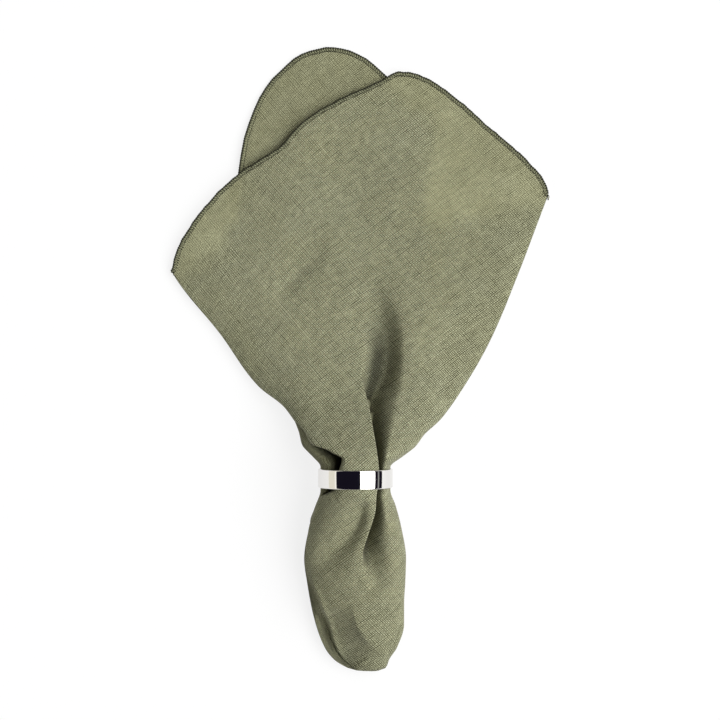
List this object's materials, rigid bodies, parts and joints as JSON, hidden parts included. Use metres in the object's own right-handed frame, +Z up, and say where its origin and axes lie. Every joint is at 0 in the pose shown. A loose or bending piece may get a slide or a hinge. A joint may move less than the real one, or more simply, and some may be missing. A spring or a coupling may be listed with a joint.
{
  "type": "cloth napkin in a ring",
  "caption": "Square linen napkin with rounded corners and an overlocked hem, gathered, drawn through a plain polished metal ring and spread into a fan.",
  "frame": {"origin": "middle of the part's box, on the table that the napkin lies on", "axes": "+Y along the napkin from the closed tail through the ring to the open fan, +Z up from the table, +X to the right seen from above"},
  "size_m": [0.218, 0.3566, 0.042],
  "materials": {
    "linen": "matte sage green plain weave",
    "hem_thread": "matte dark green overlock thread",
    "polished_metal": "polished"
  },
  "bodies": {
    "root": {"napkin": "linen", "ring": "polished_metal"}
  },
  "joints": []
}
